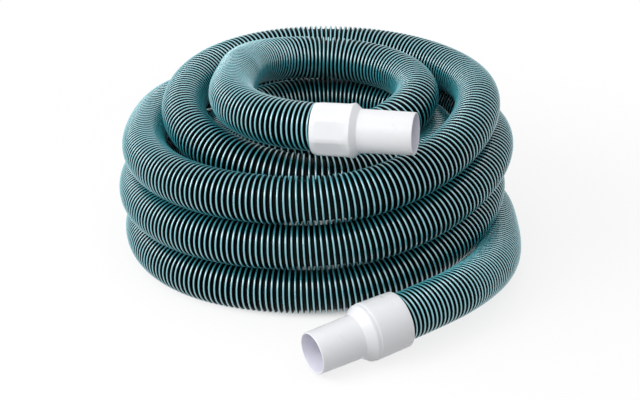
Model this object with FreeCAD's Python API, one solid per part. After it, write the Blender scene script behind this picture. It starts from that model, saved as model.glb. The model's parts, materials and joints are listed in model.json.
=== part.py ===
import FreeCAD, Part
import math
import os

# Pool vacuum hose, coiled as it is sold: about six turns of ribbed hose, a fixed cuff on the upper end
# and a swivel cuff on the lower end. Millimetres, +Z up. The pile stands on z = 0, and the origin is
# the bottom centre of the whole part.

V = FreeCAD.Vector

# Hose
HOSE_BORE = 38.0            # inside diameter, the nominal 1-1/2 inch
WEB_WALL = 1.0              # wall between the ribs
RIB_HEIGHT = 3.75
RIB_PITCH = 5.0
RIB_FOOT = 3.4              # width of a rib where it leaves the wall
RIB_TOP = 1.6               # width of a rib at its crest
HOSE_VALLEY = HOSE_BORE + 2 * WEB_WALL
HOSE_CREST = HOSE_VALLEY + 2 * RIB_HEIGHT
TURN_GAP = 0.6              # daylight between turns that lie on each other
FLOOR_FLAT = 0.5            # depth to which the bottom turn is cut flat
FLOOR_GAP = 0.3             # daylight under what leaves the floor at the lower end

# Coil, one row for each turn, stations at its right, back, left and front, going up counterclockwise.
# Radii are measured from the axis of the coil to the middle of the hose. Heights count in layers of
# hose: 0 lies on the floor, 1 lies on the turn below, and so on.
TURN_RADII = [
    (196.0, 189.0, 187.0, 181.0),
    (181.0, 180.5, 191.0, 185.0),
    (187.0, 173.0, 185.0, 187.0),
    (169.5, 157.0, 143.0, 137.5),
    (129.5, 118.0, 101.0, 90.0),
    (106.5, 106.0),
]
TURN_LAYERS = [
    (0.02, 0.00, 0.00, 0.00),
    (0.98, 1.01, 1.00, 1.06),
    (2.00, 2.02, 2.01, 2.09),
    (2.97, 3.00, 2.66, 2.13),
    (1.98, 1.98, 1.94, 2.38),
    (2.95, 3.09),
]
LAST_STRAIGHT_AT = (-93.0, 8.0)     # where the coil runs out straight on the left of the top turn
LAST_LAYER = 3.38                   # its height there, in layers

# Fixed cuff, screwed on the upper end
FIXED_LENGTH = 98.0
FIXED_SPOUT = 53.0          # length of the spout
FIXED_SHOULDER = 6.0        # length of the cone between spout and collar
FIXED_WALL = 2.5            # wall of the collar at its rounded edges
FIXED_FLAT_DEPTH = 1.1      # depth of the grip flats below those edges
FIXED_FLAT_COUNT = 8
FIXED_FLAT_TURN = 18.0      # degrees from straight up to the first flat's middle
FIXED_FLAT_START = 1.5      # distance from the end of the shoulder to the flats
FIXED_REAR_TAPER = 6.0      # length of the tapered hose end
FIXED_REAR_DROP = 2.0       # how far that end comes in
FIXED_REAR_AT = (-1.5, -162.4, 188.0)
FIXED_HEADING = (15.0, 2.5)     # degrees: turned to the front from straight right, and nose up

# Swivel cuff, free to turn on the lower end
SWIVEL_LENGTH = 95.0
SWIVEL_SPOUT = 46.0
SWIVEL_SHOULDER = 9.0
SWIVEL_BAND = 4.0           # width of the plain band behind the shoulder
SWIVEL_STEP = 0.5           # step from that band up to the collar
SWIVEL_WALL = 1.7           # wall of the collar at the step
SWIVEL_REAR_DROP = 0.6      # how far its outside comes in at the hose end
SWIVEL_REAR_AT = (77.0, -256.5)
SWIVEL_HEADING = (31.0, -5.4)   # degrees: turned to the front from straight left, and nose down

# Both cuffs
CUFF_BORE = 38.2            # slips over a nominal 1-1/2 inch nozzle
SPOUT_WALL = 2.0            # wall of a spout at its shoulder
SPOUT_TAPER = 0.8           # how far its outside comes in at the mouth
EDGE_ROUND = 0.7            # rounding of the mouth's rim
REAR_ROUND = 1.2            # rounding of the swivel collar's hose end
SOCKET_GAP = 0.3            # radial clearance of the hose in a socket
STOP_DEPTH = 2.0            # thickness of the lip that the hose end stops against
LIP_RELIEF = 0.5            # how far the lip's bore stands back from the cuff's bore
CUT_MARGIN = 1.0            # how far a cutter runs past what it cuts

# Inside the swivel cuff
SLEEVE_WALL = 1.3           # wall of the sleeve that is bonded on the hose
FLANGE_RISE = 0.8           # how far the sleeve's flange stands proud of its barrel
FLANGE_WIDTH = 3.7
SLEEVE_INSET = 4.0          # distance from the collar's hose end to the sleeve's end
RUN_GAP = 0.3               # clearance of what turns, along and across the axis
SEAL_WIDTH = 2.0
RETAINER_WIDTH = 2.0
RETAINER_BITE = 0.6         # depth of the groove that holds the retaining ring
RETAINER_GAP = 0.15         # radial clearance in that groove
RETAINER_SLOT = 24.0        # degrees left open in the split ring

# Route
END_STRAIGHT = HOSE_CREST   # each end of a stretch runs straight for one hose diameter
SAMPLE_STEP = 4.0           # spacing of the points on which the coil's clearance is measured

# Sizes that follow from those
HOSE_R = HOSE_CREST / 2
LAYER = HOSE_CREST + TURN_GAP
FLOOR_Z = HOSE_R - FLOOR_FLAT
SOCKET_R = HOSE_R + SOCKET_GAP
SPOUT_ROOT = CUFF_BORE + 2 * SPOUT_WALL
SPOUT_MOUTH = SPOUT_ROOT - 2 * SPOUT_TAPER
FIXED_COLLAR = 2 * (SOCKET_R + FIXED_WALL)
FIXED_FLATS = FIXED_COLLAR - 2 * FIXED_FLAT_DEPTH
FIXED_LIP_BORE = CUFF_BORE + 2 * LIP_RELIEF
SLEEVE_LIP_BORE = CUFF_BORE + 2 * LIP_RELIEF
SLEEVE_R = SOCKET_R + SLEEVE_WALL
FLANGE_R = SLEEVE_R + FLANGE_RISE
SHELL_R = FLANGE_R + RUN_GAP
GROOVE_R = SHELL_R + RETAINER_BITE
SWIVEL_COLLAR = 2 * (SHELL_R + SWIVEL_WALL)
SWIVEL_COLLAR_REAR = SWIVEL_COLLAR - 2 * SWIVEL_REAR_DROP


def unit(v):
    return V(v).normalize()


def heading_vector(degrees, pitch, side):
    """Unit vector along a cuff, from its hose end to its mouth; side is +1 to the right."""
    turn, rise = math.radians(degrees), math.radians(pitch)
    return V(side * math.cos(turn) * math.cos(rise), -math.sin(turn) * math.cos(rise), math.sin(rise))


# A path is a list of edges, straight runs and arcs, each tangent to the next.

def arc_edge(start, tangent, end):
    """The arc that leaves start along tangent and ends at end."""
    chord = end - start
    across = chord - tangent * chord.dot(tangent)
    if across.Length < 1e-6 * chord.Length:
        return Part.LineSegment(start, end).toShape()
    side = unit(across)
    radius = chord.dot(chord) / (2 * chord.dot(side))
    half_turn = math.atan2(chord.dot(side), chord.dot(tangent))
    middle = start + side * (radius * (1 - math.cos(half_turn))) + tangent * (radius * math.sin(half_turn))
    return Part.Arc(start, middle, end).toShape()


def biarc_edges(start, leave, end, arrive):
    """Two arcs that join two points and keep to the direction given at each."""
    chord = end - start
    both = leave + arrive
    a = 2 * (1 - leave.dot(arrive))
    b = 2 * chord.dot(both)
    c = -chord.dot(chord)
    reach = -c / b if abs(a) < 1e-9 else (-b + math.sqrt(b * b - 4 * a * c)) / (2 * a)
    knee = (start + end + (leave - arrive) * reach) * 0.5
    at_knee = unit(knee - start - leave * reach)
    return [arc_edge(start, leave, knee), arc_edge(knee, at_knee, end)]


def points_on(edges, spacing):
    """Points along a path, about a spacing apart."""
    found = []
    for edge in edges:
        steps = max(1, round(edge.Length / spacing))
        span = edge.LastParameter - edge.FirstParameter
        found += [edge.valueAt(edge.FirstParameter + span * i / steps) for i in range(steps)]
    return found


def path_length(edges):
    return sum(edge.Length for edge in edges)


def place_on(edges, distance):
    """The point and direction at a distance along a path."""
    for edge in edges:
        if distance <= edge.Length or edge is edges[-1]:
            t = edge.getParameterByLength(min(distance, edge.Length))
            return edge.valueAt(t), edge.tangentAt(t)
        distance -= edge.Length


def coil_stations():
    """Each quarter turn of the coil: its point, and its direction from the stations on both sides."""
    radii = [r for row in TURN_RADII for r in row]
    layers = [h for row in TURN_LAYERS for h in row]
    points = []
    for k, (radius, layer) in enumerate(zip(radii, layers)):
        angle = math.radians(90 * k)
        points.append(V(radius * math.cos(angle), radius * math.sin(angle), FLOOR_Z + layer * LAYER))
    points.append(V(*LAST_STRAIGHT_AT, FLOOR_Z + LAST_LAYER * LAYER))
    headings = []
    for k in range(len(points)):
        angle = math.radians(90 * k)
        forward = V(-math.sin(angle), math.cos(angle), 0)
        if 0 < k < len(radii):
            before, after = points[k - 1], points[k + 1]
            run = math.pi * radii[k]
            outward = V(math.cos(angle), math.sin(angle), 0)
            forward += outward * ((math.hypot(after.x, after.y) - math.hypot(before.x, before.y)) / run)
            rise, climb = points[k].z - before.z, after.z - points[k].z
            if rise * climb > 0:
                forward += V(0, 0, 4 * rise * climb / ((rise + climb) * run))
        headings.append(unit(forward))
    return points, headings


def coil_path():
    points, headings = coil_stations()
    run_out = points[0] + headings[0] * END_STRAIGHT
    edges = [Part.LineSegment(points[0], run_out).toShape()]
    spots = [run_out] + points[1:]
    for k in range(len(spots) - 1):
        edges += biarc_edges(spots[k], headings[k], spots[k + 1], headings[k + 1])
    finish = spots[-1] + headings[-1] * END_STRAIGHT
    edges.append(Part.LineSegment(spots[-1], finish).toShape())
    return edges


def stretch_path(start, leave, end, arrive):
    """A free stretch: straight out of each end for one hose diameter, and two arcs between."""
    near, far = start + leave * END_STRAIGHT, end - arrive * END_STRAIGHT
    edges = [Part.LineSegment(start, near).toShape()]
    edges += biarc_edges(near, leave, far, arrive)
    edges.append(Part.LineSegment(far, end).toShape())
    return edges


def circle_wire(centre, direction, radius):
    """A circle square to a direction, its seam always turned the same way."""
    circle = Part.Circle(centre, direction, radius)
    circle.XAxis = unit(V(0, 0, 1).cross(direction))
    return Part.Wire([circle.toShape()])


def hollow(outer, inner, ends):
    """A tube's solid, from its outer skin, its bore, and the flat ring at each end."""
    faces = outer.Faces + inner.Faces
    for centre, direction, outer_r, inner_r in ends:
        disc = Part.Face(circle_wire(centre, direction, outer_r))
        faces += disc.cut(Part.Face(circle_wire(centre, direction, inner_r))).Faces
    shell = Part.Shell(faces)
    shell.sewShape()
    solid = Part.Solid(shell)
    if solid.Volume < 0:
        solid.reverse()
    return solid


def plain_tube(edges, outer_r, inner_r):
    """A hollow tube along a path."""
    start, leave = place_on(edges, 0)
    end, arrive = place_on(edges, path_length(edges))
    spine = Part.Wire(edges)
    skins = [spine.makePipeShell([circle_wire(start, leave, radius)], False, False)
             for radius in (outer_r, inner_r)]
    return hollow(*skins, [(start, leave, outer_r, inner_r), (end, arrive, outer_r, inner_r)])


def ribbed_tube(edges, name):
    """A ribbed hose along a path: a ruled skin through four circles for each rib, and a bore."""
    length = path_length(edges)
    count = round(length / RIB_PITCH)
    pitch = length / count
    valley, crest = HOSE_VALLEY / 2, HOSE_R
    profile = [((pitch - RIB_FOOT) / 2, valley), ((pitch - RIB_TOP) / 2, crest),
               ((pitch + RIB_TOP) / 2, crest), ((pitch + RIB_FOOT) / 2, valley)]
    stops = [(0, valley)]
    stops += [(k * pitch + along, radius) for k in range(count) for along, radius in profile]
    stops.append((length, valley))
    outer, inner = [], []
    for along, radius in stops:
        point, direction = place_on(edges, along)
        outer.append(circle_wire(point, direction, radius))
    bore_steps = max(2, round(length / (2 * RIB_PITCH)))
    for k in range(bore_steps + 1):
        point, direction = place_on(edges, length * k / bore_steps)
        inner.append(circle_wire(point, direction, HOSE_BORE / 2))
    print(name, "ribs", count, "length", round(length, 1))
    ends = [(*place_on(edges, along), valley, HOSE_BORE / 2) for along in (0, length)]
    return hollow(Part.makeLoft(outer, False, True), Part.makeLoft(inner, False, True), ends)


def turned(profile, degrees=360):
    """A ring or shell turned about the X axis from an outline of (along, radius) points."""
    spots = [V(x, r, 0) for x, r in profile]
    outline = Part.makePolygon(spots + spots[:1])
    return Part.Face(outline).revolve(V(0, 0, 0), V(1, 0, 0), degrees)


def round_edges(solid, spots, radius):
    """Round the circular edges that pass through the given (along, radius) spots."""
    chosen = []
    for edge in solid.Edges:
        if not isinstance(edge.Curve, Part.Circle):
            continue
        if any(abs(edge.Curve.Center.x - x) < 1e-6 and abs(edge.Curve.Radius - r) < 1e-6 for x, r in spots):
            chosen.append(edge)
    return solid.makeFillet(radius, chosen)


def on_axis(solid, mouth, into):
    """Move a piece from the X axis to a cuff's axis; into points from its mouth to its hose."""
    across = unit(V(0, 0, 1).cross(into))
    above = into.cross(across)
    matrix = FreeCAD.Matrix(into.x, across.x, above.x, mouth.x, into.y, across.y, above.y, mouth.y,
                            into.z, across.z, above.z, mouth.z, 0, 0, 0, 1)
    placed = solid.copy()
    placed.Placement = FreeCAD.Placement(matrix)
    return placed


# Fixed cuff, measured along its axis from the mouth
FIXED_COLLAR_AT = FIXED_SPOUT + FIXED_SHOULDER
FIXED_STOP = FIXED_COLLAR_AT + STOP_DEPTH


def fixed_cuff():
    spout_r, collar_r = SPOUT_ROOT / 2, FIXED_COLLAR / 2
    body = turned([(0, CUFF_BORE / 2), (FIXED_COLLAR_AT, CUFF_BORE / 2),
                   (FIXED_COLLAR_AT, FIXED_LIP_BORE / 2), (FIXED_STOP, FIXED_LIP_BORE / 2),
                   (FIXED_STOP, SOCKET_R), (FIXED_LENGTH, SOCKET_R), (FIXED_LENGTH, collar_r),
                   (FIXED_COLLAR_AT, collar_r), (FIXED_SPOUT, spout_r), (0, SPOUT_MOUTH / 2)])
    flat_at = FIXED_COLLAR_AT + FIXED_FLAT_START
    for k in range(FIXED_FLAT_COUNT):
        cutter = Part.makeBox(FIXED_LENGTH, FIXED_COLLAR, FIXED_COLLAR,
                              V(flat_at, -collar_r, FIXED_FLATS / 2))
        cutter.rotate(V(0, 0, 0), V(1, 0, 0), FIXED_FLAT_TURN + 360 / FIXED_FLAT_COUNT * k)
        body = body.cut(cutter)
    taper_at = FIXED_LENGTH - FIXED_REAR_TAPER
    body = body.cut(turned([(taper_at, collar_r), (FIXED_LENGTH, collar_r - FIXED_REAR_DROP),
                            (FIXED_LENGTH, collar_r + CUT_MARGIN), (taper_at, collar_r + CUT_MARGIN)]))
    return round_edges(body, [(0, SPOUT_MOUTH / 2)], EDGE_ROUND).Solids[0]


# Swivel cuff, measured along its axis from the mouth
SWIVEL_SEAT = SWIVEL_SPOUT + SWIVEL_SHOULDER
SWIVEL_COLLAR_AT = SWIVEL_SEAT + SWIVEL_BAND
SEAL_AT = SWIVEL_SEAT + RUN_GAP
FLANGE_AT = SEAL_AT + SEAL_WIDTH
RETAINER_AT = FLANGE_AT + FLANGE_WIDTH + RUN_GAP
SWIVEL_STOP = FLANGE_AT + STOP_DEPTH
SLEEVE_END = SWIVEL_LENGTH - SLEEVE_INSET


def swivel_shell():
    collar_r, rear_r = SWIVEL_COLLAR / 2, SWIVEL_COLLAR_REAR / 2
    retainer_end = RETAINER_AT + RETAINER_WIDTH
    shell = turned([(0, CUFF_BORE / 2), (SWIVEL_SEAT, CUFF_BORE / 2), (SWIVEL_SEAT, SHELL_R),
                    (RETAINER_AT, SHELL_R), (RETAINER_AT, GROOVE_R), (retainer_end, GROOVE_R),
                    (retainer_end, SHELL_R), (SWIVEL_LENGTH, SHELL_R), (SWIVEL_LENGTH, rear_r),
                    (SWIVEL_COLLAR_AT, collar_r), (SWIVEL_COLLAR_AT, collar_r - SWIVEL_STEP),
                    (SWIVEL_SEAT, collar_r - SWIVEL_STEP), (SWIVEL_SPOUT, SPOUT_ROOT / 2),
                    (0, SPOUT_MOUTH / 2)])
    shell = round_edges(shell, [(SWIVEL_LENGTH, rear_r)], min(REAR_ROUND, 0.9 * (rear_r - SHELL_R)))
    return round_edges(shell, [(0, SPOUT_MOUTH / 2)], EDGE_ROUND).Solids[0]


def swivel_sleeve():
    return turned([(FLANGE_AT, SLEEVE_LIP_BORE / 2), (SWIVEL_STOP, SLEEVE_LIP_BORE / 2),
                   (SWIVEL_STOP, SOCKET_R), (SLEEVE_END, SOCKET_R), (SLEEVE_END, SLEEVE_R),
                   (FLANGE_AT + FLANGE_WIDTH, SLEEVE_R), (FLANGE_AT + FLANGE_WIDTH, FLANGE_R),
                   (FLANGE_AT, FLANGE_R)])


def swivel_seal():
    return turned([(SEAL_AT, SLEEVE_LIP_BORE / 2), (FLANGE_AT, SLEEVE_LIP_BORE / 2),
                   (FLANGE_AT, FLANGE_R), (SEAL_AT, FLANGE_R)])


def swivel_retainer():
    inner, outer = SLEEVE_R + RUN_GAP, GROOVE_R - RETAINER_GAP
    end = RETAINER_AT + RETAINER_WIDTH
    return turned([(RETAINER_AT, inner), (end, inner), (end, outer), (RETAINER_AT, outer)],
                  360 - RETAINER_SLOT)


def least_gap(edges):
    """The narrowest daylight between turns of the coil, from points along its middle line."""
    points = points_on(edges, SAMPLE_STEP)
    apart = int(3 * HOSE_CREST / SAMPLE_STEP)
    least = min(points[i].distanceToPoint(points[j])
                for i in range(len(points)) for j in range(i + apart, len(points)))
    return least - HOSE_CREST


def build():
    coil_edges = coil_path()
    coil = plain_tube(coil_edges, HOSE_R, HOSE_BORE / 2)
    reach = 2 * max(max(row) for row in TURN_RADII)
    above_floor = Part.makeBox(2 * reach, 2 * reach, reach, V(-reach, -reach, 0))
    coil = coil.common(above_floor).Solids[0]
    print("coil length", round(sum(edge.Length for edge in coil_edges), 1))
    print("coil least gap", round(least_gap(coil_edges), 2))

    fixed_out = heading_vector(*FIXED_HEADING, 1)
    fixed_in = fixed_out * -1
    fixed_mouth = V(*FIXED_REAR_AT) + fixed_out * FIXED_LENGTH
    coil_end = coil_edges[-1].valueAt(coil_edges[-1].LastParameter)
    coil_leave = coil_edges[-1].tangentAt(coil_edges[-1].LastParameter)
    upper = stretch_path(coil_end, coil_leave, fixed_mouth + fixed_in * FIXED_STOP, fixed_out)

    swivel_out = heading_vector(*SWIVEL_HEADING, -1)
    swivel_in = swivel_out * -1
    rest_z = SWIVEL_COLLAR / 2 + FLOOR_GAP + swivel_in.z * (SWIVEL_LENGTH - SWIVEL_COLLAR_AT)
    swivel_mouth = V(*SWIVEL_REAR_AT, rest_z) + swivel_out * SWIVEL_LENGTH
    coil_start = coil_edges[0].valueAt(coil_edges[0].FirstParameter)
    coil_arrive = coil_edges[0].tangentAt(coil_edges[0].FirstParameter)
    lower = stretch_path(swivel_mouth + swivel_in * SWIVEL_STOP, swivel_in, coil_start, coil_arrive)
    for name, path in (("upper end", upper), ("lower end", lower), ("coil", coil_edges)):
        radii = [edge.Curve.Radius for edge in path if isinstance(edge.Curve, Part.Circle)]
        print(name, "bend radii", [round(radius) for radius in radii])

    parts = {
        "hose_coil": coil,
        "hose_upper_end": ribbed_tube(upper, "upper end"),
        "hose_lower_end": ribbed_tube(lower, "lower end"),
        "fixed_cuff": on_axis(fixed_cuff(), fixed_mouth, fixed_in),
        "swivel_cuff_shell": on_axis(swivel_shell(), swivel_mouth, swivel_in),
        "swivel_sleeve": on_axis(swivel_sleeve(), swivel_mouth, swivel_in),
        "swivel_seal": on_axis(swivel_seal(), swivel_mouth, swivel_in),
        "swivel_retaining_ring": on_axis(swivel_retainer(), swivel_mouth, swivel_in),
    }
    box = FreeCAD.BoundBox()
    for shape in parts.values():
        box.add(shape.optimalBoundingBox(False, False))
    shift = V(-box.Center.x, -box.Center.y, 0)
    for shape in parts.values():
        shape.translate(shift)
    print("size", round(box.XLength, 1), round(box.YLength, 1), round(box.ZLength, 1))
    for label, spot in (("low corner", V(box.XMin, box.YMin, box.ZMin) + shift), ("shift", shift),
                        ("fixed mouth", fixed_mouth + shift), ("fixed axis", fixed_out),
                        ("swivel mouth", swivel_mouth + shift), ("swivel axis", swivel_out)):
        print(label, [round(value, 5) for value in spot])
    return parts


os.makedirs("parts", exist_ok=True)
for name, shape in build().items():
    print(name, shape.ShapeType, shape.isValid(), "volume", round(shape.Volume))
    shape.exportStep("parts/" + name + ".step")
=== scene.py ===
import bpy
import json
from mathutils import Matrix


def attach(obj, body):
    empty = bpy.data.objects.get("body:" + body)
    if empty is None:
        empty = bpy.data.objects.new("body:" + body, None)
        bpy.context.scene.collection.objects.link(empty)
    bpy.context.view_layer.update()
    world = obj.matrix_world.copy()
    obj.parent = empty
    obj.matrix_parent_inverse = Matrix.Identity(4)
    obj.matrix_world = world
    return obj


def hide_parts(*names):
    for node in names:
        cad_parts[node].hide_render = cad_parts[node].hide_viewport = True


bl_info = {
    "name": "Coiled vacuum hose",
    "version": (1, 0, 0),
    "blender": (4, 5, 0),
    "location": "View3D > Sidebar > Hose",
    "description": "Ribbed pool vacuum hose in a coil, with its two white cuffs and a small studio",
    "category": "Add Mesh",
}

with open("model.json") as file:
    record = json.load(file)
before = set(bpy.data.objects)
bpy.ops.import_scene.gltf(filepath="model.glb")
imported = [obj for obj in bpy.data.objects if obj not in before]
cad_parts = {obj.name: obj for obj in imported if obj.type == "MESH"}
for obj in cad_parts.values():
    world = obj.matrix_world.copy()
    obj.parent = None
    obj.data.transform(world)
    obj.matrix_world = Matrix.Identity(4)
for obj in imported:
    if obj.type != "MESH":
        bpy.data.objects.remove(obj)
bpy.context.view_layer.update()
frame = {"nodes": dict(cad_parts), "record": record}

import json
import math

import bmesh
import bpy
from bpy.props import FloatProperty, FloatVectorProperty, IntProperty, PointerProperty
from mathutils import Matrix, Vector

MM = 0.001

# Hose, in millimetres
HOSE_BORE = 38.0
WEB_WALL = 1.0
RIB_HEIGHT = 3.75
RING_SPACING = 5.0
HOSE_VALLEY = HOSE_BORE + 2 * WEB_WALL
HOSE_CREST = HOSE_VALLEY + 2 * RIB_HEIGHT
TURN_GAP = 0.6
FLOOR_FLAT = 0.5
LAYER = HOSE_CREST + TURN_GAP
FLOOR_Z = HOSE_CREST / 2 - FLOOR_FLAT

# Coil, one row for each turn, stations at its right, back, left and front, going up counterclockwise.
# Radii are measured from the axis of the coil, and heights count in layers of hose. The last station
# is where the hose runs out straight on the left of the top turn.
TURN_RADII = [
    (196.0, 189.0, 187.0, 181.0),
    (181.0, 180.5, 191.0, 185.0),
    (187.0, 173.0, 185.0, 187.0),
    (169.5, 158.5, 143.0, 137.5),
    (129.5, 118.0, 101.0, 90.0),
    (106.5, 106.0, 83.5),
]
TURN_LAYERS = [
    (0.02, 0.00, 0.00, 0.00),
    (0.98, 1.01, 1.00, 1.06),
    (2.00, 2.02, 2.01, 2.09),
    (2.99, 3.03, 2.67, 2.13),
    (1.98, 1.98, 1.94, 2.38),
    (2.95, 3.09, 3.38),
]
POINTS_PER_QUARTER = 9

# How far the middle of each quarter turn stands out, from right to back, back to left, and so on
TURN_BULGES = [
    (0.0, 5.0, 7.0, 0.0),
    (0.0, 5.0, 6.0, 0.0),
    (0.0, 20.0, 3.0, 0.0),
    (-2.0, 4.0, 0.0, 0.0),
    (0.0, 0.0, 0.0, 0.0),
    (0.0, 0.0),
]

# Free ends of the hose, between the coil and the cuffs, measured from the axis of the coil
LOWER_BEND = [(117, -231, 36.5), (153, -190, 35.5), (179, -140, 29.0), (193.5, -84, 24.3)]
UPPER_BEND = [(-87, -22, 185.8), (-88.5, -45, 185.8), (-87, -66, 185.8), (-82, -86, 185.8),
              (-73, -105, 185.8), (-60, -123, 186.0), (-42, -139, 186.4), (-18, -152.5, 187.0)]

# Stretches of the hose from the swivel cuff on, with the pitch of their ribs. The hose is drawn out a
# little in the coil and pushed together near its ends. The last stretch takes what is left.
STRETCHES = [
    ("lower_end", 160.0, 4.75),
    ("coil_1", 1370.0, 5.35),
    ("coil_2", 1370.0, 5.35),
    ("coil_3", 1370.0, 5.5),
    ("coil_4", 1400.0, 5.75),
    ("upper_end", 0.0, 5.05),
]
RIB_MARGIN = 2.5

# The rib's black foot: its width under the bead as a share of the bead's, how far it reaches into the
# bead and into the wall as shares of their heights, and its knee, as shares of the foot's height and of
# the way that its side comes in from the wall to the bead
WAIST_SHARE = 0.96
FOOT_IN_BEAD = 0.3
FOOT_IN_WALL = 0.3
KNEE_HEIGHT = 0.3
KNEE_DRAWN_IN = 2 / 3
BEAD_CORNERS = 8

# Both cuffs, in millimetres. Places are measured along the axis from the mouth.
CUFF_BORE_R = 19.1
SPOUT_WALL = 2.0
SPOUT_TAPER = 0.8
STOP_DEPTH = 2.0
LIP_RELIEF = 0.5
SOCKET_GAP = 0.3
RUN_GAP = 0.3
LIP_R = CUFF_BORE_R + LIP_RELIEF
SOCKET_R = HOSE_CREST / 2 + SOCKET_GAP
SPOUT_ROOT_R = CUFF_BORE_R + SPOUT_WALL
SPOUT_MOUTH_R = SPOUT_ROOT_R - SPOUT_TAPER

# Fixed cuff
FIXED_LENGTH = 98.0
FIXED_SPOUT = 53.0
FIXED_SHOULDER = 6.0
FIXED_WALL = 2.5
FIXED_REAR_TAPER = 6.0
FIXED_REAR_DROP = 2.0
FIXED_FLAT_DEPTH = 1.35
FIXED_FLAT_COUNT = 8
FIXED_FLAT_TURN = math.radians(27)
FIXED_FLAT_INSET = 1.5
FLAT_RUN_IN = 1.0
FIXED_COLLAR_AT = FIXED_SPOUT + FIXED_SHOULDER
FIXED_STOP = FIXED_COLLAR_AT + STOP_DEPTH
FIXED_TAPER_AT = FIXED_LENGTH - FIXED_REAR_TAPER
FIXED_FLAT_START = FIXED_COLLAR_AT + FIXED_FLAT_INSET
FIXED_COLLAR_R = SOCKET_R + FIXED_WALL
FIXED_FLAT_R = FIXED_COLLAR_R - FIXED_FLAT_DEPTH
FIXED_REAR_R = FIXED_COLLAR_R - FIXED_REAR_DROP

# Swivel cuff, and what its shell has to clear inside
SWIVEL_LENGTH = 95.0
SWIVEL_SPOUT = 46.0
SWIVEL_SHOULDER = 9.0
SWIVEL_BAND = 4.0
SWIVEL_STEP = 0.5
SWIVEL_WALL = 1.7
SWIVEL_REAR_DROP = 0.6
SLEEVE_WALL = 1.3
FLANGE_RISE = 0.8
FLANGE_WIDTH = 3.7
SEAL_WIDTH = 2.0
RETAINER_WIDTH = 2.0
RETAINER_BITE = 0.6
SWIVEL_SEAT = SWIVEL_SPOUT + SWIVEL_SHOULDER
SWIVEL_COLLAR_AT = SWIVEL_SEAT + SWIVEL_BAND
FLANGE_AT = SWIVEL_SEAT + RUN_GAP + SEAL_WIDTH
SWIVEL_STOP = FLANGE_AT + STOP_DEPTH
GROOVE_AT = FLANGE_AT + FLANGE_WIDTH + RUN_GAP
GROOVE_END = GROOVE_AT + RETAINER_WIDTH
SHELL_R = SOCKET_R + SLEEVE_WALL + FLANGE_RISE + RUN_GAP
GROOVE_R = SHELL_R + RETAINER_BITE
SWIVEL_COLLAR_R = SHELL_R + SWIVEL_WALL
SWIVEL_REAR_R = SWIVEL_COLLAR_R - SWIVEL_REAR_DROP


def mount(name):
    """A mount of the record: the place and axis of a cuff's bore, or the face on the floor."""
    found = next(m for m in frame["record"]["mounts"] if m["name"] == name)
    return Vector(found["pos_m"]), Vector(found["axis"]).normalized(), found["dims"].get("length_mm", 0)


def cuff_frame(name):
    """The mouth of a cuff, and the direction out of it, from its bore mount."""
    middle, axis, length = mount(name)
    return middle + axis * (length / 2 * MM), axis


FIXED_MOUTH, FIXED_AXIS = cuff_frame("fixed_cuff_bore")
SWIVEL_MOUTH, SWIVEL_AXIS = cuff_frame("swivel_cuff_bore")
COIL_AXIS = mount("floor_rest")[0] + Vector((TURN_RADII[0][2] * MM, 0, 0))


def linear(colour):
    """A colour written as it looks on screen, in the linear values that a shader takes."""
    return tuple(c / 12.92 if c <= 0.04045 else ((c + 0.055) / 1.055) ** 2.4 for c in colour)


class HoseSettings(bpy.types.PropertyGroup):
    drawn_out: FloatProperty(name="Drawn out", description="Factor on the distance from rib to rib",
                             default=1.0, min=0.8, max=1.3)
    bead_width: FloatProperty(name="Bead width", description="Width of the coloured bead on the rib",
                              default=1.75 * MM, unit="LENGTH")
    bead_height: FloatProperty(name="Bead height", description="Height of the coloured bead",
                               default=1.1 * MM, unit="LENGTH")
    foot_width: FloatProperty(name="Rib foot", description="Width of the black rib where it leaves the wall",
                              default=4.2 * MM, unit="LENGTH")
    bead_steps: IntProperty(name="Bead steps", description="Steps of the bead in one turn round the hose",
                            default=32, min=12, max=64)
    foot_steps: IntProperty(name="Foot steps", description="Steps of the foot in one turn round the hose",
                            default=24, min=12, max=64)
    bead_colour: FloatVectorProperty(name="Bead", description="Colour of the bead", subtype="COLOR",
                                     size=3, min=0, max=1, default=linear((0.24, 0.68, 0.735)))
    web_colour: FloatVectorProperty(name="Web", description="Colour of the wall and the rib's foot",
                                    subtype="COLOR", size=3, min=0, max=1,
                                    default=linear((0.008, 0.02, 0.028)))


class CuffSettings(bpy.types.PropertyGroup):
    facets: IntProperty(name="Facets", description="Steps round a cuff", default=160, min=48, max=320)
    edge_softness: FloatProperty(name="Edge softness", description="Rounding of the grip's long edges",
                                 default=0.1 * MM, unit="LENGTH")
    cuff_colour: FloatVectorProperty(name="Cuff", description="Colour of the white plastic", subtype="COLOR",
                                     size=3, min=0, max=1, default=linear((0.93, 0.935, 0.95)))
    # Colour of the inside of the cuffs: the cuffs' white with a painted cool, bluish shade
    bore_painted_shade_colour: FloatVectorProperty(name="Bore", description="Colour inside the cuffs", subtype="COLOR",
                                     size=3, min=0, max=1, default=linear((0.94, 0.94, 0.985)))


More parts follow.
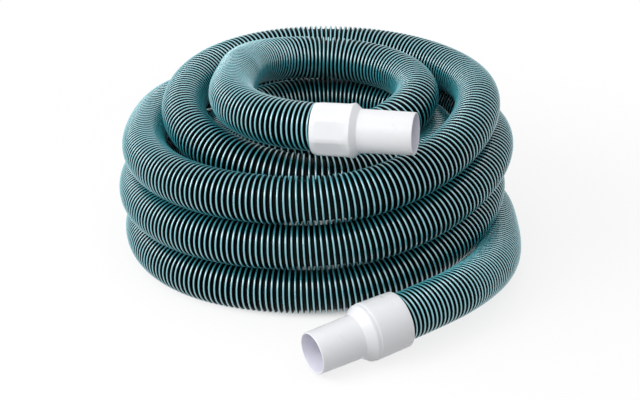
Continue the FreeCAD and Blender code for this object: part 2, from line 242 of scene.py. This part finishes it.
class StudioSettings(bpy.types.PropertyGroup):
    eye_height: FloatProperty(name="Camera height", description="Height of the camera over the floor",
                              default=0.667, unit="LENGTH")
    eye_distance: FloatProperty(name="Camera distance", default=1.4183, unit="LENGTH",
                                description="Distance of the camera in front of the coil's axis")
    eye_offset: FloatProperty(name="Camera offset", default=0.00305, unit="LENGTH",
                              description="Distance of the camera to the right of the coil's axis")
    look_down: FloatProperty(name="Look down", description="Angle of the camera below level",
                             default=math.radians(23.8), subtype="ANGLE", unit="ROTATION")
    view_angle: FloatProperty(name="View angle", description="Horizontal angle of view",
                              default=math.radians(25.73), subtype="ANGLE", unit="ROTATION")
    key_power: FloatProperty(name="Key light", description="Power of the large light above, to the left",
                             default=8.5, unit="POWER")
    top_power: FloatProperty(name="Top light", description="Power of the light overhead",
                             default=1.5, unit="POWER")
    side_power: FloatProperty(name="Side light", description="Power of the long light on the left",
                              default=2.5, unit="POWER")
    fill_power: FloatProperty(name="Fill light", description="Power of the light from the front right",
                              default=0.1, unit="POWER")
    front_power: FloatProperty(name="Front light", description="Power of the light from over the camera",
                               default=4.2, unit="POWER")
    world_strength: FloatProperty(name="Room light", description="Strength of the even light from all round",
                                  default=0.9, min=0)
    floor_tone: FloatProperty(name="Floor tone", description="How much light the floor throws back up",
                              default=0.45, min=0, max=1)


# Nodes


class Nodes:
    """A tree of nodes, which are joined as they are added."""

    def __init__(self, graph):
        self.graph = graph

    def add(self, kind, settings=(), **inputs):
        node = self.graph.nodes.new(kind)
        for name, value in dict(settings).items():
            setattr(node, name, value)
        for name, value in inputs.items():
            self.feed(node.inputs[name.replace("_", " ")], value)
        return node

    def feed(self, socket, value):
        if isinstance(value, bpy.types.NodeSocket):
            self.graph.links.new(value, socket)
        else:
            socket.default_value = value

    def maths(self, operation, *values):
        node = self.add("ShaderNodeMath", {"operation": operation})
        for socket, value in zip(node.inputs, values):
            self.feed(socket, value)
        return node.outputs[0]

    def vector(self, operation, first, second, result=0):
        """A vector sum, difference, product or distance or, with a number for the second, a scaling."""
        node = self.add("ShaderNodeVectorMath", {"operation": operation})
        self.feed(node.inputs[0], first)
        self.feed(node.inputs["Scale"] if operation == "SCALE" else node.inputs[1], second)
        return node.outputs[result]

    def ramp(self, value, start, end, low, high, interpolation="LINEAR"):
        """A number that runs from low to high as the value runs from start to end."""
        node = self.add("ShaderNodeMapRange", {"interpolation_type": interpolation}, Value=value,
                        From_Min=start, From_Max=end, To_Min=low, To_Max=high)
        return node.outputs["Result"]

    def tint(self, factor, first, second):
        """A colour that runs from the first to the second with the factor."""
        node = self.add("ShaderNodeMix", {"data_type": "RGBA"}, Factor=factor, A=(*first, 1), B=(*second, 1))
        return node.outputs["Result"]

    def plainly_seen(self):
        """1 where the camera, a reflection or a see-through part looks, 0 for the light that things throw."""
        path = self.add("ShaderNodeLightPath").outputs
        looked_at = self.maths("MAXIMUM", path["Is Camera Ray"], path["Is Glossy Ray"])
        return self.maths("MAXIMUM", looked_at, path["Is Transmission Ray"])

    def show(self, factor, first, second, output):
        """Puts a mix of two surfaces on the tree's output: the second where the factor is 1."""
        mix = self.add("ShaderNodeMixShader")
        for socket, value in zip(mix.inputs, (factor, first.outputs[0], second.outputs[0])):
            self.feed(socket, value)
        self.feed(self.graph.nodes[output].inputs["Surface"], mix.outputs[0])


# Materials


# The middle of the range of a noise, over which a material's tint or gloss varies
NOISE_LOW = 0.3
NOISE_HIGH = 0.7


class Shader(Nodes):
    """The nodes of a new material."""

    def __init__(self, name):
        self.material = bpy.data.materials.new(name)
        self.material.use_nodes = True
        super().__init__(self.material.node_tree)
        self.surface = self.graph.nodes["Principled BSDF"]

    def set(self, **inputs):
        for name, value in inputs.items():
            self.feed(self.surface.inputs[name.replace("_", " ")], value)

    def noise(self, scale, detail=3.0, roughness=0.5):
        """Noise on Object coordinates; scale counts per metre."""
        place = self.add("ShaderNodeTexCoord").outputs["Object"]
        node = self.add("ShaderNodeTexNoise", Vector=place, Scale=scale, Detail=detail, Roughness=roughness)
        return node.outputs["Fac"]

    def between(self, noise, low, high):
        """A number that runs from low to high as the noise runs over the middle of its range."""
        return self.ramp(noise, NOISE_LOW, NOISE_HIGH, low, high)

    def bump(self, height, distance, strength=1.0):
        node = self.add("ShaderNodeBump", Height=height, Strength=strength, Distance=distance)
        self.feed(self.surface.inputs["Normal"], node.outputs["Normal"])


def shade(colour, factor):
    return tuple(c * factor for c in colour)


def bead_material(colour):
    """Glossy extruded plastic, a little uneven in tint and gloss along the hose."""
    made = Shader("teal_bead")
    drift = made.noise(9, detail=2)
    colour_out = made.tint(made.between(drift, 0, 1), shade(colour, 0.9), shade(colour, 1.08))
    made.set(Base_Color=colour_out, Roughness=made.between(made.noise(160), 0.26, 0.38))
    made.set(Specular_IOR_Level=1.0, IOR=1.9, Coat_Weight=1.0, Coat_IOR=1.9, Coat_Roughness=0.14)
    made.bump(made.noise(420, detail=2), 0.12 * MM, 0.5)
    return made.material


def web_material(colour):
    """Thin black wall, nearly dull, with faint waves from the winding."""
    made = Shader("black_web")
    made.set(Base_Color=made.tint(made.between(made.noise(30), 0, 1), shade(colour, 0.7), shade(colour, 1.3)),
             Roughness=made.between(made.noise(110), 0.42, 0.6), Specular_IOR_Level=0.08)
    made.bump(made.noise(260, detail=2), 0.3 * MM, 0.5)
    return made.material


def cuff_material(colour):
    """White moulded plastic with a soft sheen and the finest of grain."""
    made = Shader("white_cuff")
    mottle = made.between(made.noise(25, detail=4), 0, 1)
    made.set(Base_Color=made.tint(mottle, shade(colour, 0.975), colour),
             Roughness=made.between(made.noise(90, detail=4), 0.26, 0.38),
             Subsurface_Weight=0.15, Subsurface_Radius=(0.004, 0.004, 0.005), Subsurface_Scale=0.6,
             Coat_Weight=0.1, Coat_Roughness=0.2)
    made.bump(made.noise(700, detail=3), 0.05 * MM, 0.4)
    return made.material


def bore_material(colour):
    """The inside of the cuffs, a little duller than the outside. Its cooler colour is painted shade: the
    cuffs' white with the bluish tint of the shade inside a bore.
    """
    made = Shader("cuff_bore")
    made.set(Base_Color=made.tint(made.between(made.noise(40), 0, 1), shade(colour, 0.94), colour),
             Roughness=made.between(made.noise(120), 0.38, 0.5))
    made.bump(made.noise(500), 0.05 * MM, 0.4)
    return made.material


def sleeve_material():
    """Unpolished grey-white plastic of the parts inside the swivel."""
    made = Shader("inner_sleeve")
    tone = linear((0.86, 0.87, 0.88))
    made.set(Base_Color=made.tint(made.between(made.noise(50), 0, 1), shade(tone, 0.9), tone),
             Roughness=made.between(made.noise(150), 0.45, 0.6))
    made.bump(made.noise(600), 0.06 * MM, 0.5)
    return made.material


def seal_material():
    """Black rubber with a fine bloom."""
    made = Shader("seal_rubber")
    tone = linear((0.09, 0.09, 0.095))
    made.set(Base_Color=made.tint(made.between(made.noise(200), 0, 1), tone, shade(tone, 2.0)),
             Roughness=made.between(made.noise(300), 0.6, 0.8))
    made.bump(made.noise(900), 0.05 * MM, 0.5)
    return made.material


# Route of the hose


def eased(values, k, t, harmonic):
    """The value between stations k and k + 1, from the slopes that its neighbours give."""
    def slope(i):
        if i == 0 or i == len(values) - 1:
            return 0
        back, on = values[i] - values[i - 1], values[i + 1] - values[i]
        if not harmonic:
            return (back + on) / 2
        return 2 * back * on / (back + on) if back * on > 0 else 0

    first, last = values[k], values[k + 1]
    return ((2 * t ** 3 - 3 * t ** 2 + 1) * first + (t ** 3 - 2 * t ** 2 + t) * slope(k)
            + (3 * t ** 2 - 2 * t ** 3) * last + (t ** 3 - t ** 2) * slope(k + 1))


def coil_points():
    """Control points of the coil's turns. They stand out a little, so that the smooth line through
    their middles has the coil's radius."""
    radii = [r for row in TURN_RADII for r in row]
    layers = [h for row in TURN_LAYERS for h in row]
    bulges = [b for row in TURN_BULGES for b in row]
    step = math.pi / 2 / POINTS_PER_QUARTER
    stand_out = 1 / math.cos(step / 2)
    points = []
    for i in range((len(radii) - 1) * POINTS_PER_QUARTER + 1):
        k = min(i // POINTS_PER_QUARTER, len(radii) - 2)
        t = i / POINTS_PER_QUARTER - k
        radius = (eased(radii, k, t, False) + bulges[k] * math.sin(math.pi * t) ** 2) * stand_out
        height = FLOOR_Z + eased(layers, k, t, True) * LAYER
        points.append(Vector((radius * math.cos(i * step), radius * math.sin(i * step), height)))
    return points


def route_points():
    """Control points of the whole hose, from the swivel cuff to the fixed cuff, in metres."""
    middle = [Vector(p) for p in LOWER_BEND] + coil_points() + [Vector(p) for p in UPPER_BEND]
    start = SWIVEL_MOUTH - SWIVEL_AXIS * (SWIVEL_STOP * MM)
    end = FIXED_MOUTH - FIXED_AXIS * (FIXED_STOP * MM)
    return [start] + [COIL_AXIS + p * MM for p in middle] + [end]


def route_mesh():
    """The hose's centre line: a smooth spline through the route, read as a chain of edges."""
    points = route_points()
    curve = bpy.data.curves.new("route", "CURVE")
    curve.dimensions = "3D"
    spline = curve.splines.new("NURBS")
    spline.points.add(len(points) - 1)
    for spot, point in zip(spline.points, points):
        spot.co = (*point, 1)
    spline.order_u = 3
    spline.use_endpoint_u = True
    spline.resolution_u = 8
    holder = bpy.data.objects.new("route", curve)
    bpy.context.scene.collection.objects.link(holder)
    bpy.context.view_layer.update()
    line = bpy.data.meshes.new_from_object(holder.evaluated_get(bpy.context.evaluated_depsgraph_get()))
    bpy.data.objects.remove(holder)
    bpy.data.curves.remove(curve)
    return line


def line_length(line):
    spots = [v.co for v in line.vertices]
    return sum((b - a).length for a, b in zip(spots, spots[1:]))


# Shapes that follow the hose


class Tree(Nodes):
    """A Geometry Nodes tree whose input is the hose's centre line, with named sizes."""

    def __init__(self, name, sizes):
        super().__init__(bpy.data.node_groups.new(name, "GeometryNodeTree"))
        self.graph.is_modifier = True
        face = self.graph.interface
        face.new_socket("Line", in_out="INPUT", socket_type="NodeSocketGeometry")
        self.identifiers = {}
        for label, kind in sizes.items():
            self.identifiers[label] = face.new_socket(label, in_out="INPUT", socket_type=kind).identifier
        face.new_socket("Mesh", in_out="OUTPUT", socket_type="NodeSocketGeometry")
        self.given = self.add("NodeGroupInput").outputs

    def finish(self, geometry, material):
        smooth = self.add("GeometryNodeSetShadeSmooth", Geometry=geometry)
        real = self.add("GeometryNodeRealizeInstances", Geometry=smooth.outputs[0])
        dressed = self.add("GeometryNodeSetMaterial", Geometry=real.outputs[0], Material=material)
        self.feed(self.add("NodeGroupOutput").inputs[0], dressed.outputs[0])


def wall_tree():
    """A tube of one radius along the line."""
    tree = Tree("hose_wall_tree", {"Radius": "NodeSocketFloat", "Ring spacing": "NodeSocketFloat",
                                   "Steps": "NodeSocketInt", "Material": "NodeSocketMaterial"})
    line = tree.add("GeometryNodeMeshToCurve", Mesh=tree.given["Line"])
    even = tree.add("GeometryNodeResampleCurve", {"mode": "LENGTH"}, Curve=line.outputs[0],
                    Length=tree.given["Ring spacing"])
    ring = tree.add("GeometryNodeCurvePrimitiveCircle", Resolution=tree.given["Steps"],
                    Radius=tree.given["Radius"])
    tube = tree.add("GeometryNodeCurveToMesh", Curve=even.outputs[0], Profile_Curve=ring.outputs[0])
    tree.finish(tube.outputs[0], tree.given["Material"])
    return tree


def helix_tree():
    """A bar of any outline wound round the line as a helix, from one distance along it to another."""
    tree = Tree("rib_tree", {"Outline": "NodeSocketObject", "Radius": "NodeSocketFloat",
                             "Pitch": "NodeSocketFloat", "Steps": "NodeSocketInt",
                             "From": "NodeSocketFloat", "To": "NodeSocketFloat",
                             "Turns before": "NodeSocketFloat",
                             "Material": "NodeSocketMaterial"})
    given = tree.given
    line = tree.add("GeometryNodeMeshToCurve", Mesh=given["Line"]).outputs[0]
    span = tree.maths("SUBTRACT", given["To"], given["From"])
    turns = tree.maths("DIVIDE", span, given["Pitch"])
    count = tree.maths("ROUND", tree.maths("MULTIPLY", turns, given["Steps"]))
    bar = tree.add("GeometryNodeCurvePrimitiveLine")
    bar = tree.add("GeometryNodeResampleCurve", {"mode": "COUNT"}, Curve=bar.outputs[0],
                   Count=tree.maths("ADD", count, 1.0)).outputs[0]
    along = tree.maths("MULTIPLY_ADD", tree.add("GeometryNodeSplineParameter").outputs["Factor"], span,
                       given["From"])
    spot = tree.add("GeometryNodeSampleCurve", {"mode": "LENGTH", "use_all_curves": True},
                    Curves=line, Length=along).outputs
    turn = tree.maths("DIVIDE", tree.maths("SUBTRACT", along, given["From"]), given["Pitch"])
    turn = tree.maths("MULTIPLY", tree.maths("ADD", turn, given["Turns before"]), 2 * math.pi)
    side = tree.vector("CROSS_PRODUCT", spot["Tangent"], spot["Normal"])
    outward = tree.vector("ADD", tree.vector("SCALE", spot["Normal"], tree.maths("COSINE", turn)),
                          tree.vector("SCALE", side, tree.maths("SINE", turn)))
    place = tree.vector("ADD", spot["Position"], tree.vector("SCALE", outward, given["Radius"]))
    frame_out = tree.add("GeometryNodeCaptureAttribute", Geometry=bar)
    frame_out.capture_items.new("VECTOR", "outward")
    frame_out.capture_items.new("VECTOR", "place")
    tree.feed(frame_out.inputs["outward"], outward)
    tree.feed(frame_out.inputs["place"], place)
    wound = tree.add("GeometryNodeSetPosition", Geometry=frame_out.outputs["Geometry"],
                     Position=frame_out.outputs["place"])
    wound = tree.add("GeometryNodeSetCurveNormal", {"mode": "FREE"}, Curve=wound.outputs[0],
                     Normal=frame_out.outputs["outward"])
    outline = tree.add("GeometryNodeObjectInfo", Object=given["Outline"])
    outline = tree.add("GeometryNodeMeshToCurve", Mesh=outline.outputs["Geometry"])
    bar = tree.add("GeometryNodeCurveToMesh", Curve=wound.outputs[0], Profile_Curve=outline.outputs[0],
                   Fill_Caps=True).outputs[0]
    here = tree.add("ShaderNodeSeparateXYZ", Vector=tree.add("GeometryNodeInputPosition").outputs[0])
    pressed = tree.add("ShaderNodeCombineXYZ", X=here.outputs["X"], Y=here.outputs["Y"],
                       Z=tree.maths("MAXIMUM", here.outputs["Z"], 0.0))
    flat = tree.add("GeometryNodeSetPosition", Geometry=bar, Position=pressed.outputs[0])
    tree.finish(flat.outputs[0], given["Material"])
    return tree


def grown(name, line, tree, **sizes):
    """The mesh that a tree makes from the line, as a plain object."""
    seed = bpy.data.objects.new(name + "_seed", line)
    bpy.context.scene.collection.objects.link(seed)
    modifier = seed.modifiers.new("nodes", "NODES")
    modifier.node_group = tree.graph
    for label, value in sizes.items():
        modifier[tree.identifiers[label.replace("_", " ")]] = value
    bpy.context.view_layer.update()
    mesh = bpy.data.meshes.new_from_object(seed.evaluated_get(bpy.context.evaluated_depsgraph_get()))
    bpy.data.objects.remove(seed)
    mesh.name = name
    return add_piece(name, mesh)


def add_piece(name, mesh):
    piece = bpy.data.objects.new(name, mesh)
    bpy.context.scene.collection.objects.link(piece)
    return piece


def outline_object(name, spots):
    """A closed outline of (across, up) points, as a loop of edges. Up lies along X, which Curve to
    Mesh turns to the curve's normal."""
    mesh = bpy.data.meshes.new(name)
    count = len(spots)
    mesh.from_pydata([(up, -across, 0) for across, up in spots],
                     [(i, (i + 1) % count) for i in range(count)], [])
    return add_piece(name, mesh)


def bead_outline(width, height, top):
    """A round bead, drawn as the corners of an oval whose flat top is at the crest."""
    half_step = math.pi / BEAD_CORNERS
    reach = math.cos(half_step)
    spots = []
    for i in range(BEAD_CORNERS):
        angle = half_step * (2 * i + 1)
        spots.append((width / 2 * math.cos(angle) / reach,
                      top - height / 2 + height / 2 * math.sin(angle) / reach))
    return spots


def foot_outline(foot, waist, top):
    """The black foot of the rib: wide where it leaves the wall, hollow-sided, and narrow under the bead."""
    root = -FOOT_IN_WALL * WEB_WALL * MM
    knee = foot + (waist - foot) * KNEE_DRAWN_IN
    right = [(foot / 2, root), (knee / 2, top * KNEE_HEIGHT), (waist / 2, top)]
    return right + [(-across, up) for across, up in reversed(right)]


# Cuffs


# Two runs whose directions agree as closely as this need no fillet, and radii this close are the same
STRAIGHT = 0.9999
SAME_RADIUS = 0.01


def softened(corners, steps=4):
    """A closed outline of (along, radius) points, from corners with a fillet each."""
    spots = []
    for i, (along, radius, fillet) in enumerate(corners):
        here = Vector((along, radius))
        before = (Vector(corners[i - 1][:2]) - here).normalized()
        after = (Vector(corners[(i + 1) % len(corners)][:2]) - here).normalized()
        if not fillet or abs(before.dot(after)) > STRAIGHT:
            spots.append(tuple(here))
            continue
        half = math.acos(max(-1, min(1, before.dot(after)))) / 2
        reach = fillet / math.tan(half)
        centre = here + (before + after).normalized() * (fillet / math.sin(half))
        first, last = here + before * reach - centre, here + after * reach - centre
        turn = math.atan2(first.x * last.y - first.y * last.x, first.dot(last))
        for k in range(steps + 1):
            a = turn * k / steps
            spots.append((centre.x + first.x * math.cos(a) - first.y * math.sin(a),
                          centre.y + first.x * math.sin(a) + first.y * math.cos(a)))
    return spots


def axis_matrix(mouth, axis):
    """Places a piece that was turned about X, with its mouth at X = 0 and its hose at +X."""
    into = -axis
    across = Vector((0, 0, 1)).cross(into).normalized()
    above = into.cross(across)
    return Matrix.Translation(mouth) @ Matrix((into, across, above)).transposed().to_4x4()


def lathe(name, outline, steps, mouth, axis, materials, slot_of, shape=None):
    """A ring turned from a closed outline in millimetres. shape may draw the radius in, by angle."""
    mesh = bmesh.new()
    rings = []
    for k in range(steps):
        angle = 2 * math.pi * k / steps
        ring = []
        for along, radius in outline:
            r = shape(along, radius, angle) if shape else radius
            ring.append(mesh.verts.new((along * MM, r * math.sin(angle) * MM, r * math.cos(angle) * MM)))
        rings.append(ring)
    for k in range(steps):
        for j in range(len(outline)):
            on = (j + 1) % len(outline)
            here, there = rings[k], rings[(k + 1) % steps]
            face = mesh.faces.new((here[j], here[on], there[on], there[j]))
            face.smooth = True
            face.material_index = slot_of(outline[j], outline[on])
    mesh.transform(axis_matrix(mouth, axis))
    bmesh.ops.recalc_face_normals(mesh, faces=mesh.faces)
    data = bpy.data.meshes.new(name)
    mesh.to_mesh(data)
    mesh.free()
    for material in materials:
        data.materials.append(material)
    return add_piece(name, data)


# Closed outlines of the cuffs: along, radius, and the fillet of that corner
FIXED_OUTLINE = [
    (0.0, CUFF_BORE_R, 0.4), (FIXED_COLLAR_AT, CUFF_BORE_R, 0), (FIXED_COLLAR_AT, LIP_R, 0),
    (FIXED_STOP, LIP_R, 0), (FIXED_STOP, SOCKET_R, 0), (FIXED_LENGTH, SOCKET_R, 0.15),
    (FIXED_LENGTH, FIXED_REAR_R, 0.3), (FIXED_TAPER_AT, FIXED_COLLAR_R, 4.0),
    (FIXED_COLLAR_AT, FIXED_COLLAR_R, 1.6), (FIXED_SPOUT, SPOUT_ROOT_R, 1.6), (0.0, SPOUT_MOUTH_R, 0.7),
]
SWIVEL_OUTLINE = [
    (0.0, CUFF_BORE_R, 0.4), (SWIVEL_SEAT, CUFF_BORE_R, 0), (SWIVEL_SEAT, SHELL_R, 0),
    (GROOVE_AT, SHELL_R, 0), (GROOVE_AT, GROOVE_R, 0), (GROOVE_END, GROOVE_R, 0),
    (GROOVE_END, SHELL_R, 0), (SWIVEL_LENGTH, SHELL_R, 0.1), (SWIVEL_LENGTH, SWIVEL_REAR_R, 0.95),
    (SWIVEL_COLLAR_AT, SWIVEL_COLLAR_R, 0.2), (SWIVEL_COLLAR_AT, SWIVEL_COLLAR_R - SWIVEL_STEP, 0.2),
    (SWIVEL_SEAT, SWIVEL_COLLAR_R - SWIVEL_STEP, 3.0), (SWIVEL_SPOUT, SPOUT_ROOT_R, 2.0),
    (0.0, SPOUT_MOUTH_R, 0.7),
]


def inside_bore(first, last):
    """1 for the faces of the bore, 0 for the rest."""
    return int(max(first[1], last[1]) <= LIP_R + SAME_RADIUS)


def refined(outline, longest=6.0):
    """The outline with points added on its long runs, for an even mesh."""
    spots = []
    for a, b in zip(outline, outline[1:] + outline[:1]):
        count = max(1, math.ceil(math.dist(a, b) / longest))
        spots += [(a[0] + (b[0] - a[0]) * i / count, a[1] + (b[1] - a[1]) * i / count) for i in range(count)]
    return spots


def grip_flats(softness):
    """Draws the outside of the fixed collar in to its flats, with soft edges between them."""
    pitch = 2 * math.pi / FIXED_FLAT_COUNT

    def shape(along, radius, angle):
        if radius < FIXED_REAR_R or along < FIXED_FLAT_START - FLAT_RUN_IN:
            return radius
        off = (angle - FIXED_FLAT_TURN + pitch / 2) % pitch - pitch / 2
        flat = FIXED_FLAT_R / math.cos(off)
        flat += max(0, FIXED_FLAT_START - along) / FLAT_RUN_IN * FIXED_FLAT_DEPTH
        return -softness * math.log(math.exp(-radius / softness) + math.exp(-flat / softness))

    return shape


# Operators


class OBJECT_OT_hose_wall(bpy.types.Operator):
    """Makes the black wall of the hose, its whole length, as a tube with a bore"""

    bl_idname = "object.hose_wall"
    bl_label = "Hose wall"

    def execute(self, context):
        settings = context.scene.hose
        line = route_mesh()
        web = web_material(settings.web_colour)
        wall = grown("hose_wall", line, wall_tree(), Radius=HOSE_VALLEY / 2 * MM,
                     Ring_spacing=RING_SPACING * MM, Steps=settings.bead_steps, Material=web)
        shell = wall.modifiers.new("wall", "SOLIDIFY")
        shell.thickness = WEB_WALL * MM
        shell.offset = -1
        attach(wall, "hose")
        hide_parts("hose_coil", "hose_upper_end", "hose_lower_end")
        length = line_length(line)
        ribs = rib_pieces(settings, line, length, web)
        return {"FINISHED"}


def rib_pieces(settings, line, length, web):
    """The helical rib in its stretches: a black foot on the wall, and the coloured bead on the foot."""
    tree = helix_tree()
    crest = RIB_HEIGHT * MM
    foot_top = crest - settings.bead_height * (1 - FOOT_IN_BEAD)
    bead = outline_object("bead_outline", bead_outline(settings.bead_width, settings.bead_height, crest))
    waist = settings.bead_width * WAIST_SHARE
    foot = outline_object("foot_outline", foot_outline(settings.foot_width, waist, foot_top))
    teal = bead_material(settings.bead_colour)
    start, turns, made = RIB_MARGIN * MM, 0.0, []
    for name, reach, pitch in STRETCHES:
        end = start + reach * MM if reach else length - RIB_MARGIN * MM
        pitch *= MM * settings.drawn_out
        for kind, outline, steps, material in (("teal_bead_", bead, settings.bead_steps, teal),
                                               ("rib_foot_", foot, settings.foot_steps, web)):
            piece = grown(kind + name, line, tree, Outline=outline, Radius=HOSE_VALLEY / 2 * MM, Pitch=pitch,
                          Steps=steps, From=start, To=end, Turns_before=turns, Material=material)
            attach(piece, "hose")
            made.append(piece)
        turns += (end - start) / pitch
        start = end
    bpy.data.objects.remove(bead)
    bpy.data.objects.remove(foot)
    return made


class OBJECT_OT_hose_cuffs(bpy.types.Operator):
    """Makes the fixed cuff and the outer shell of the swivel cuff"""

    bl_idname = "object.hose_cuffs"
    bl_label = "Cuffs"

    def execute(self, context):
        settings = context.scene.hose_cuffs
        # The bore's material has a cooler colour, which is painted shade
        materials = [cuff_material(settings.cuff_colour), bore_material(settings.bore_painted_shade_colour)]
        fixed = lathe("fixed_cuff_moulding", refined(softened(FIXED_OUTLINE)), settings.facets, FIXED_MOUTH,
                      FIXED_AXIS, materials, inside_bore, grip_flats(settings.edge_softness / MM))
        swivel = lathe("swivel_cuff_moulding", refined(softened(SWIVEL_OUTLINE)), settings.facets,
                       SWIVEL_MOUTH, SWIVEL_AXIS, materials, inside_bore)
        for piece, node, body in ((fixed, "fixed_cuff", "hose"),
                                  (swivel, "swivel_cuff_shell", "swivel_cuff")):
            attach(piece, body)
            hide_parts(node)
        return {"FINISHED"}


class OBJECT_OT_hose_swivel_parts(bpy.types.Operator):
    """Finishes the sleeve, seal and retaining ring inside the swivel cuff"""

    bl_idname = "object.hose_swivel_parts"
    bl_label = "Swivel parts"

    def execute(self, context):
        sleeve, seal = sleeve_material(), seal_material()
        for node, material in (("swivel_sleeve", sleeve), ("swivel_retaining_ring", sleeve),
                               ("swivel_seal", seal)):
            data = frame["nodes"][node].data
            data.materials.clear()
            data.materials.append(material)
        return {"FINISHED"}


# Studio


# Lamps: place, and width and height, in metres, and the point that they all face
LAMPS = {
    "key": ((-1.0, -0.65, 1.05), (0.8, 0.8)),
    "top": ((0.0, 0.1, 1.8), (1.6, 1.6)),
    "side": ((-1.6, -0.3, 0.6), (0.6, 1.4)),
    "fill": ((1.4, -1.3, 0.9), (1.2, 1.2)),
    "front": ((-0.3, -1.5, 1.5), (1.0, 0.8)),
}
LAMPS_FACE = (0, 0, 0.1)


def area_light(name, place, size, power):
    data = bpy.data.lights.new(name, "AREA")
    data.shape = "RECTANGLE"
    data.size, data.size_y = size
    data.energy = power
    light = bpy.data.objects.new(name, data)
    light.location = place
    light.rotation_euler = (Vector(LAMPS_FACE) - Vector(place)).to_track_quat("-Z", "Y").to_euler()
    bpy.context.scene.collection.objects.link(light)


# Floor. All of its shadow is kept up to COIL_INSIDE from the coil's axis, the share FLOOR_KEEPS_SHADOW
# from COIL_FOOT to FLOOR_NEAR, and none beyond FLOOR_FAR. Distances are in metres.
COIL_INSIDE = 0.17
COIL_FOOT = 0.20
FLOOR_NEAR = 0.34
FLOOR_FAR = 0.75
FLOOR_KEEPS_SHADOW = 0.2
FLOOR_REACH = 8.0
FLOOR_BELOW = 0.0003


def floor_material(tone):
    """Pale paper. It is seen white, keeps the hose's shadow near the hose and all of it inside the coil,
    and throws back less light."""
    made = Shader("floor_paper")
    place = made.add("ShaderNodeTexCoord").outputs["Object"]
    away = made.vector("DISTANCE", place, (COIL_AXIS.x, COIL_AXIS.y, 0), "Value")
    outside = made.ramp(away, COIL_INSIDE, COIL_FOOT, 0, 1, "SMOOTHSTEP")
    beyond = made.ramp(away, FLOOR_NEAR, FLOOR_FAR, 1 - FLOOR_KEEPS_SHADOW, 1, "SMOOTHSTEP")
    seen = made.plainly_seen()
    made.set(Base_Color=made.tint(seen, (tone,) * 3, (1.0,) * 3), Roughness=0.9, Specular_IOR_Level=0.0)
    white = made.add("ShaderNodeEmission", Strength=1.0)
    share = made.maths("MULTIPLY", made.maths("MULTIPLY", outside, beyond), seen)
    made.show(share, made.surface, white, "Material Output")
    return made.material


WORLD_BRIGHT_SIDE = (-0.75, -0.15, 0.65)
WORLD_BRIGHT_COLOUR = (1.0, 0.99, 0.98)
WORLD_DIM_COLOUR = (0.8, 0.92, 1.0)
WORLD_DIM_SHARE = 0.2


def studio_world(strength):
    """Soft light from all round, stronger from above on the left and bluer and weaker from the right,
    and plain white wherever the world itself is seen."""
    world = bpy.data.worlds.new("studio")
    world.use_nodes = True
    made = Nodes(world.node_tree)
    place = made.add("ShaderNodeTexCoord").outputs["Generated"]
    side = made.ramp(made.vector("DOT_PRODUCT", place, WORLD_BRIGHT_SIDE, "Value"), -1, 1, 0, 1)
    dim = made.graph.nodes["Background"]
    made.feed(dim.inputs["Color"], made.tint(side, shade(WORLD_DIM_COLOUR, WORLD_DIM_SHARE),
                                             WORLD_BRIGHT_COLOUR))
    made.feed(dim.inputs["Strength"], strength)
    bright = made.add("ShaderNodeBackground", Color=(1, 1, 1, 1))
    made.show(made.plainly_seen(), dim, bright, "World Output")
    return world


def floor_sheet(tone):
    corners = [(-1, -1), (1, -1), (1, 1), (-1, 1)]
    mesh = bpy.data.meshes.new("floor")
    mesh.from_pydata([(x * FLOOR_REACH, y * FLOOR_REACH, -FLOOR_BELOW) for x, y in corners], [],
                     [range(len(corners))])
    mesh.materials.append(floor_material(tone))
    add_piece("floor", mesh)


class OBJECT_OT_hose_studio(bpy.types.Operator):
    """Makes the camera, the pale floor, the lights and the white background"""

    bl_idname = "object.hose_studio"
    bl_label = "Studio"

    def execute(self, context):
        settings = context.scene.hose_studio
        data = bpy.data.cameras.new("camera")
        data.sensor_width = 36.0
        data.angle = settings.view_angle
        camera = bpy.data.objects.new("camera", data)
        camera.location = COIL_AXIS + Vector((settings.eye_offset, -settings.eye_distance,
                                              settings.eye_height))
        camera.rotation_euler = (math.pi / 2 - settings.look_down, 0, 0)
        context.scene.collection.objects.link(camera)
        context.scene.camera = camera

        floor_sheet(settings.floor_tone)
        for name, (place, size) in LAMPS.items():
            area_light(name, place, size, getattr(settings, name + "_power"))
        context.scene.world = studio_world(settings.world_strength)
        context.scene.view_settings.view_transform = "Standard"
        return {"FINISHED"}


class VIEW3D_PT_hose(bpy.types.Panel):
    """Lists the hose's steps and settings"""

    bl_idname = "VIEW3D_PT_hose"
    bl_label = "Coiled hose"
    bl_space_type = "VIEW_3D"
    bl_region_type = "UI"
    bl_category = "Hose"

    def draw(self, context):
        scene = context.scene
        for settings, steps in ((scene.hose_studio, ["object.hose_studio"]),
                                (scene.hose, ["object.hose_wall"]),
                                (scene.hose_cuffs, ["object.hose_cuffs", "object.hose_swivel_parts"])):
            box = self.layout.box()
            for name in settings.__annotations__:
                box.prop(settings, name)
            for step in steps:
                box.operator(step)


CLASSES = (HoseSettings, CuffSettings, StudioSettings, OBJECT_OT_hose_wall, OBJECT_OT_hose_cuffs,
           OBJECT_OT_hose_swivel_parts, OBJECT_OT_hose_studio, VIEW3D_PT_hose)


def register():
    for item in CLASSES:
        bpy.utils.register_class(item)
    bpy.types.Scene.hose = PointerProperty(type=HoseSettings)
    bpy.types.Scene.hose_cuffs = PointerProperty(type=CuffSettings)
    bpy.types.Scene.hose_studio = PointerProperty(type=StudioSettings)


def unregister():
    del bpy.types.Scene.hose_studio
    del bpy.types.Scene.hose_cuffs
    del bpy.types.Scene.hose
    for item in reversed(CLASSES):
        bpy.utils.unregister_class(item)


def main():
    register()
    bpy.ops.object.hose_studio()
    bpy.ops.object.hose_wall()
    bpy.ops.object.hose_cuffs()
    bpy.ops.object.hose_swivel_parts()


if __name__ == "__main__":
    main()
